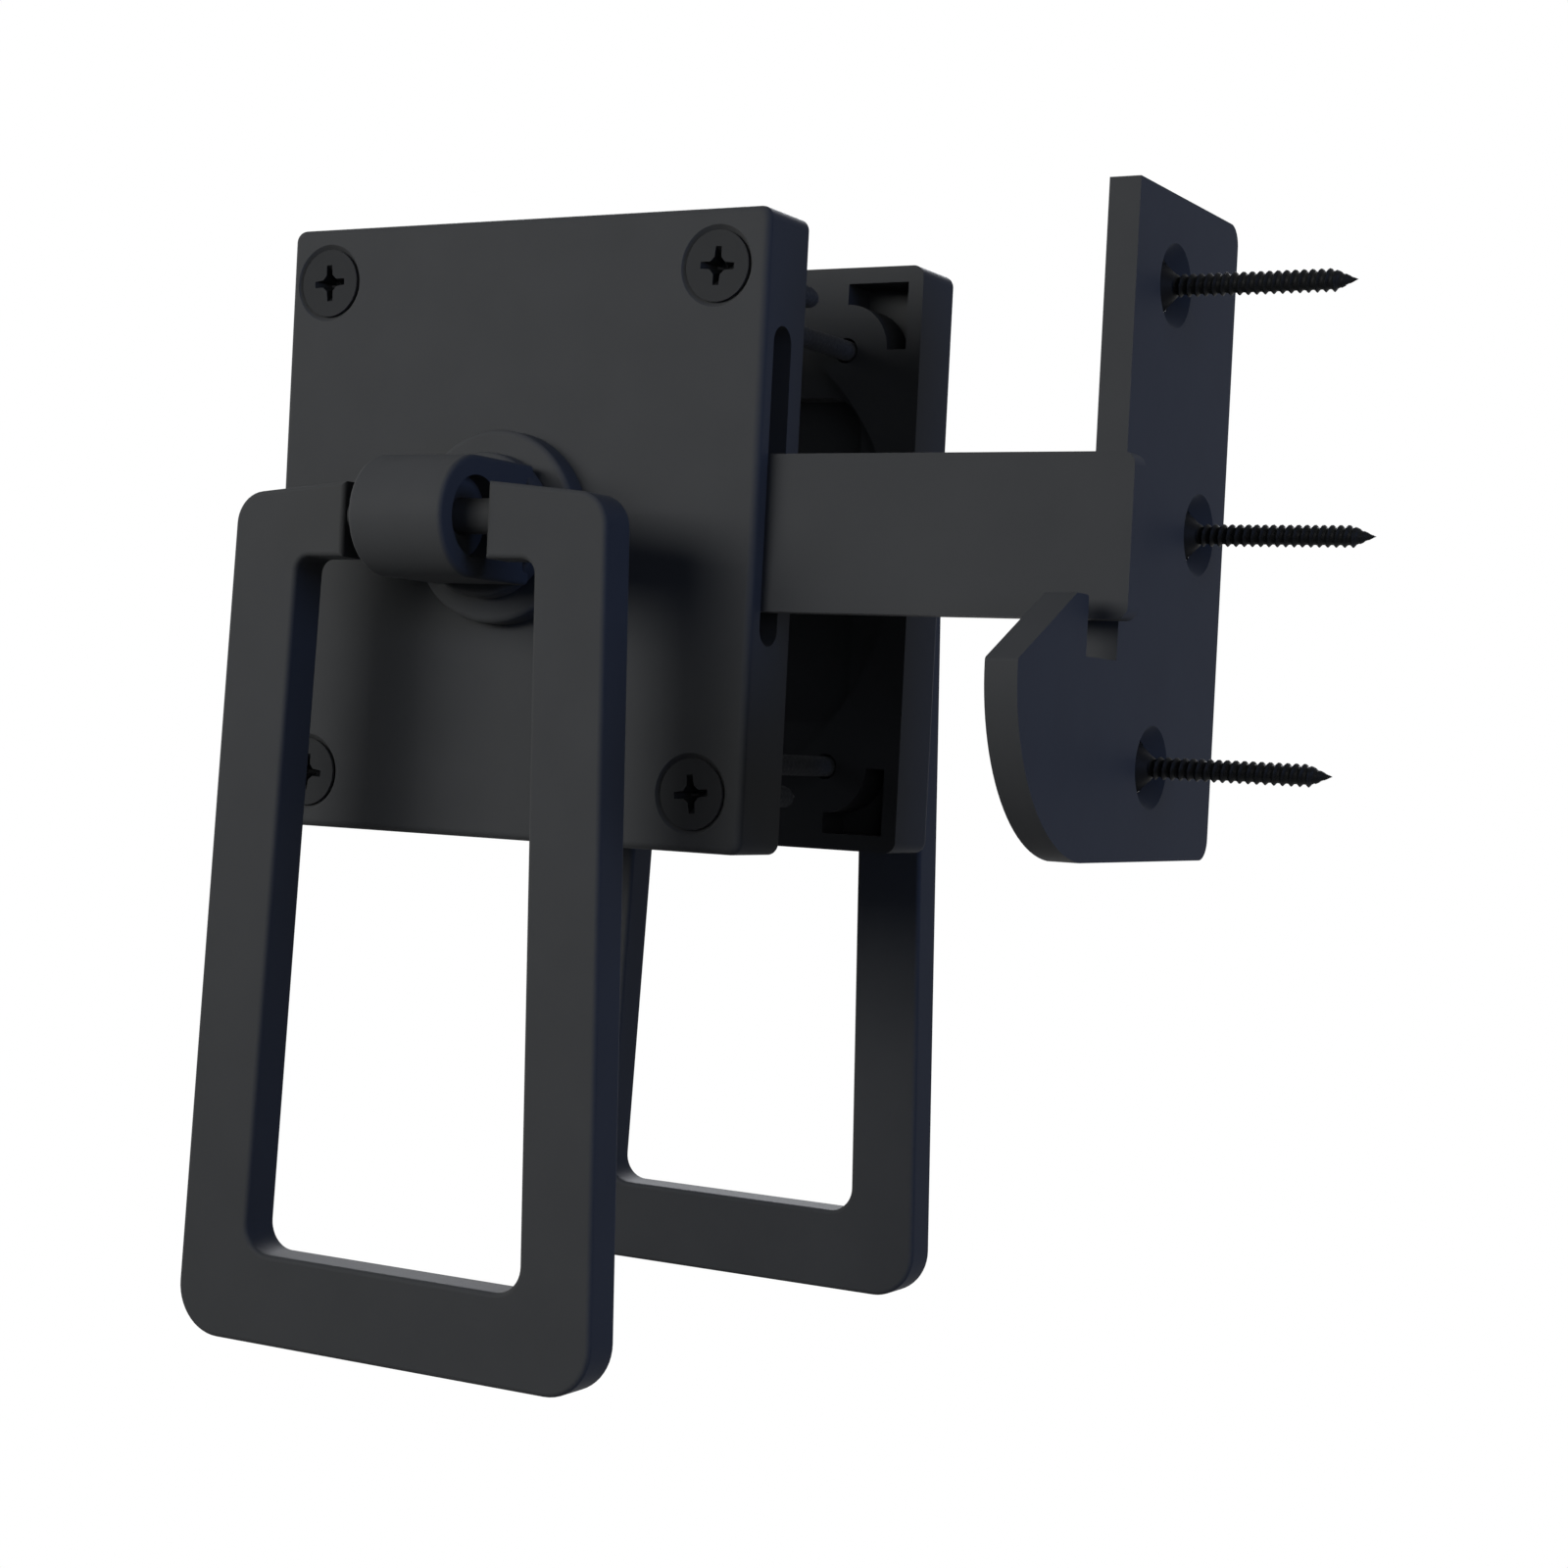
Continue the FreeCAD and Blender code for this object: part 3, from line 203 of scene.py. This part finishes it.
def screw_radius(depth, turn):
    """The screw's radius at a depth below its head's face and at a share of a turn around it."""
    if depth <= HEAD_LAND:
        return HEAD_RADIUS
    if depth <= NECK:
        return HEAD_RADIUS - (HEAD_RADIUS - THREAD_RADIUS) * (depth - HEAD_LAND) / HEAD_CONE
    phase = (depth / THREAD_PITCH - turn) % 1
    crest = max(0.0, 1 - abs(phase - 0.5) / THREAD_FLANK)
    radius = CORE_RADIUS + THREAD_HEIGHT * crest
    to_point = SCREW_LENGTH - depth
    if to_point < POINT_LENGTH:
        taper = to_point / POINT_LENGTH
        radius = min(radius, CORE_RADIUS + THREAD_HEIGHT * POINT_THREAD) * taper
    return radius


def screw_shaft(bm):
    """The head's edge, its cone, the rolled thread and the point. Returns the rim of the head's face."""
    steps = int((SCREW_LENGTH - NECK) / THREAD_PITCH * STEPS_PER_TURN)
    depths = [0.0, HEAD_LAND] + [NECK + (SCREW_LENGTH - NECK) * step / steps for step in range(steps)]
    rings = []
    for depth in depths:
        ring = []
        for spot in range(AROUND):
            angle = 2 * math.pi * spot / AROUND
            radius = screw_radius(depth, spot / AROUND)
            ring.append(bm.verts.new((radius * math.cos(angle), radius * math.sin(angle), -depth)))
        rings.append(ring)
    for upper, lower in zip(rings, rings[1:]):
        for spot in range(AROUND):
            after = (spot + 1) % AROUND
            bm.faces.new((upper[spot], lower[spot], lower[after], upper[after]))
    tip = bm.verts.new((0, 0, -SCREW_LENGTH))
    for spot in range(AROUND):
        bm.faces.new((rings[-1][spot], tip, rings[-1][(spot + 1) % AROUND]))
    return rings[0]


# Cross recess of a size 2 driver: four slim arms that rise toward their ends, round a deeper middle
ARM_REACH = 2.3
ARM_TIP_HALF_WIDTH = 0.4
ARM_ROOT = 1.02
ARM_ROOT_HALF_WIDTH = 0.47
RECESS_DEPTH = 2.3
RECESS_TAPER = 0.45
RECESS_FLOOR = 0.8  # depth at the floor's edge, as a share of the middle's

# Where the head's and the recess's finishes stand in a screw's list, after the shaft's at 0
HEAD_SLOT = 1
RECESS_SLOT = 2


def cross_recess(bm, rim):
    """The head's face with its cross recess sunk into it."""
    outline = []
    for quarter in range(4):
        turn = quarter * math.pi / 2
        for across, up in ((ARM_ROOT, -ARM_ROOT_HALF_WIDTH), (ARM_REACH, -ARM_TIP_HALF_WIDTH),
                           (ARM_REACH, ARM_TIP_HALF_WIDTH), (ARM_ROOT, ARM_ROOT_HALF_WIDTH)):
            outline.append((across * math.cos(turn) - up * math.sin(turn),
                            across * math.sin(turn) + up * math.cos(turn)))
    mouth = [bm.verts.new((x, y, 0)) for x, y in outline]
    floor = [bm.verts.new((x * RECESS_TAPER, y * RECESS_TAPER, -RECESS_DEPTH * RECESS_FLOOR))
             for x, y in outline]
    centre = bm.verts.new((0, 0, -RECESS_DEPTH))
    count = len(outline)
    for spot in range(count):
        after = (spot + 1) % count
        wall = bm.faces.new((mouth[spot], mouth[after], floor[after], floor[spot]))
        bottom = bm.faces.new((floor[spot], floor[after], centre))
        wall.material_index = bottom.material_index = RECESS_SLOT
    rim_edges = [bm.edges.get((rim[spot], rim[(spot + 1) % AROUND])) for spot in range(AROUND)]
    mouth_edges = [bm.edges.get((mouth[spot], mouth[(spot + 1) % count])) for spot in range(count)]
    filled = bmesh.ops.triangle_fill(bm, use_beauty=True, use_dissolve=False, edges=rim_edges + mouth_edges)
    for piece in filled["geom"]:
        if isinstance(piece, bmesh.types.BMFace):
            piece.material_index = HEAD_SLOT


def screw_mesh(name, shaft_finish):
    """One wood screw in metres, its faces all outward: coated head, black recess, shaft as given."""
    bm = bmesh.new()
    rim = screw_shaft(bm)
    cross_recess(bm, rim)
    bmesh.ops.recalc_face_normals(bm, faces=bm.faces)
    bmesh.ops.scale(bm, vec=(MM, MM, MM), verts=bm.verts)
    mesh = bpy.data.meshes.new(name)
    bm.to_mesh(mesh)
    bm.free()
    for finish in (shaft_finish, screw_coat, screw_black):
        mesh.materials.append(finish)
    return mesh


def place_screw(mesh, node, direction, turn):
    """A screw in a CAD screw's place, its point along the direction and its cross turned by degrees."""
    low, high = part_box(node)
    axis = Vector(direction)
    middle = (low + high) / 2
    head = middle - axis * (SCREW_LENGTH / 2 * MM)
    screw = bpy.data.objects.new(node + "_threaded", mesh)
    bpy.context.scene.collection.objects.link(screw)
    upright = (-axis).to_track_quat("Z", "Y").to_matrix().to_4x4()
    screw.matrix_world = Matrix.Translation(head) @ upright @ Matrix.Rotation(math.radians(turn), 4, "Z")
    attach(screw, "mounting")
    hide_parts(node)


# Screws driven home stop where they are tight, so their crosses stand a little turned, here in degrees
SCREW_TURNS = [4, -3, 7, -5]
# The case screws' shafts wear the paler copy of the black finish, which is painted light
case_screw = screw_mesh("case_screw", screw_painted_lit)
strike_screw = screw_mesh("strike_screw", screw_black)

# Each row's mesh, the names and number of its screws, and the way that their points face
SCREW_ROWS = [
    (case_screw, "front_case_screw_%d", 4, (0, 1, 0)),
    (case_screw, "rear_case_screw_%d", 4, (0, -1, 0)),
    (strike_screw, "strike_screw_%d", 3, (1, 0, 0)),
]
for screw, pattern, count, direction in SCREW_ROWS:
    for number in range(1, count + 1):
        place_screw(screw, pattern % number, direction, SCREW_TURNS[number - 1])

# Camera: the photograph's viewpoint, worked out from the latch's own corners
SENSOR_WIDTH_MM = 36
FOCAL_LENGTH_MM = 65.06
NEAREST_SEEN = 0.01  # in metres
CAMERA_PLACE = Vector((199.26, -295.96, -25.77)) * MM
RIGHT = Vector((0.8734631, 0.4842723, 0.0504241))
UP = Vector((-0.0493111, -0.0150444, 0.9986702))
FORWARD = Vector((-0.4843869, 0.8747880, -0.0107393))
camera_data = bpy.data.cameras.new("camera")
camera_data.sensor_width = SENSOR_WIDTH_MM
camera_data.lens = FOCAL_LENGTH_MM
camera_data.clip_start = NEAREST_SEEN
camera = bpy.data.objects.new("camera", camera_data)
bpy.context.scene.collection.objects.link(camera)
bpy.context.scene.camera = camera
turned = Matrix((RIGHT, UP, -FORWARD)).transposed().to_4x4()
camera.matrix_world = Matrix.Translation(CAMERA_PLACE) @ turned

# Floor, in metres: a pale disc well below the latch that fades into the white background
FLOOR_PLACE = (0.03, 0, -0.30)
FLOOR_RADIUS = 0.60
FLOOR_SIDES = 96
FADE_START = 0.20
FADE_END = 0.58
LEAST_FADE = 0.8  # the middle is mostly background too, so that the bluish lamp doesn't tint it
floor_mesh = bpy.data.meshes.new("floor")
bm = bmesh.new()
bmesh.ops.create_circle(bm, cap_ends=True, segments=FLOOR_SIDES, radius=FLOOR_RADIUS)
bm.to_mesh(floor_mesh)
bm.free()
floor = bpy.data.objects.new("floor", floor_mesh)
floor.location = FLOOR_PLACE
bpy.context.scene.collection.objects.link(floor)


def seen_rays(tree):
    """1 for rays that show the background: straight from the camera, or on from gloss or glass."""
    path = add_node(tree, "ShaderNodeLightPath")
    onward = add_node(tree, "ShaderNodeMath", operation="MAXIMUM",
                      links={0: path.outputs["Is Glossy Ray"], 1: path.outputs["Is Transmission Ray"]})
    seen = add_node(tree, "ShaderNodeMath", operation="MAXIMUM",
                    links={0: path.outputs["Is Camera Ray"], 1: onward.outputs["Value"]})
    return seen.outputs["Value"]


def floor_paint():
    """Matte white that turns into the background toward the disc's edge, and throws little light back."""
    material, output = new_material("white_floor")
    tree = material.node_tree
    place = add_node(tree, "ShaderNodeTexCoord").outputs["Object"]
    reach = add_node(tree, "ShaderNodeVectorMath", operation="LENGTH", links={0: place})
    fade = add_node(tree, "ShaderNodeMapRange",
                    {"From Min": FADE_START, "From Max": FADE_END, "To Min": LEAST_FADE},
                    {"Value": reach.outputs["Value"]})
    seen = seen_rays(tree)
    tone = add_node(tree, "ShaderNodeMix",
                    {FIRST_COLOUR: linear("#4a4a4a"), SECOND_COLOUR: linear("#f7f7f7")},
                    {"Factor": seen}, data_type="RGBA")
    paint = add_node(tree, "ShaderNodeBsdfDiffuse", links={"Color": tone.outputs[MIXED_COLOUR]})
    white = add_node(tree, "ShaderNodeEmission", {"Color": linear("#ffffff"), "Strength": 1.0})
    shown = add_node(tree, "ShaderNodeMath", operation="MULTIPLY",
                     links={0: fade.outputs["Result"], 1: seen})
    blend = add_node(tree, "ShaderNodeMixShader",
                     links={0: shown.outputs["Value"], 1: paint.outputs["BSDF"],
                            2: white.outputs["Emission"]})
    tree.links.new(blend.outputs["Shader"], output.inputs["Surface"])
    return material


floor_mesh.materials.append(floor_paint())


def light_world(level, colour):
    """A plain world that lights softly, and shows white to the camera, in gloss and through glass."""
    world = bpy.data.worlds.new("studio")
    bpy.context.scene.world = world
    world.use_nodes = True
    tree = world.node_tree
    tree.nodes.clear()
    soft = add_node(tree, "ShaderNodeBackground", {"Color": linear(colour), "Strength": level})
    white = add_node(tree, "ShaderNodeBackground", {"Color": linear("#ffffff"), "Strength": 1.0})
    blend = add_node(tree, "ShaderNodeMixShader",
                     links={0: seen_rays(tree), 1: soft.outputs["Background"],
                            2: white.outputs["Background"]})
    output = add_node(tree, "ShaderNodeOutputWorld")
    tree.links.new(blend.outputs["Shader"], output.inputs["Surface"])


# The place in metres that every lamp looks at
AIM = Vector((0.03, 0.01, 0.02))


def add_lamp(name, azimuth, elevation, distance, width, height, spread, power, colour):
    """A soft lamp that looks at the latch, from degrees left of the front and above the level."""
    data = bpy.data.lights.new(name, "AREA")
    data.shape = "RECTANGLE"
    data.size = width
    data.size_y = height
    data.spread = math.radians(spread)
    data.energy = power
    data.color = linear(colour)[:3]
    lamp = bpy.data.objects.new(name, data)
    left, up = math.radians(azimuth), math.radians(elevation)
    toward = Vector((-math.sin(left) * math.cos(up), -math.cos(left) * math.cos(up), math.sin(up)))
    lamp.location = AIM + toward * distance
    lamp.rotation_euler = toward.to_track_quat("Z", "Y").to_euler()
    bpy.context.scene.collection.objects.link(lamp)


light_world(0.05, "#e6eaf2")

# Each lamp's degrees left and up, its distance, width and height in metres, its spread in degrees, its
# power in watts and its colour. The one at the side is bluish, as the light on those faces is in the
# photograph.
add_lamp("key", 24, 11, 0.60, 0.54, 0.22, 90, 1.12, "#fffefb")
add_lamp("cool_side", -82, 8, 0.9, 0.50, 0.35, 180, 3.9, "#98b6ff")
add_lamp("right", -42, 4, 0.9, 0.40, 0.40, 180, 0.7, "#eef2ff")
add_lamp("left", 85, 15, 1.0, 0.5, 0.5, 180, 2.0, "#e8eeff")
add_lamp("rear", 155, 22, 1.0, 0.6, 0.5, 180, 11.0, "#f6f8ff")

scene = bpy.context.scene
scene.view_settings.view_transform = "Standard"
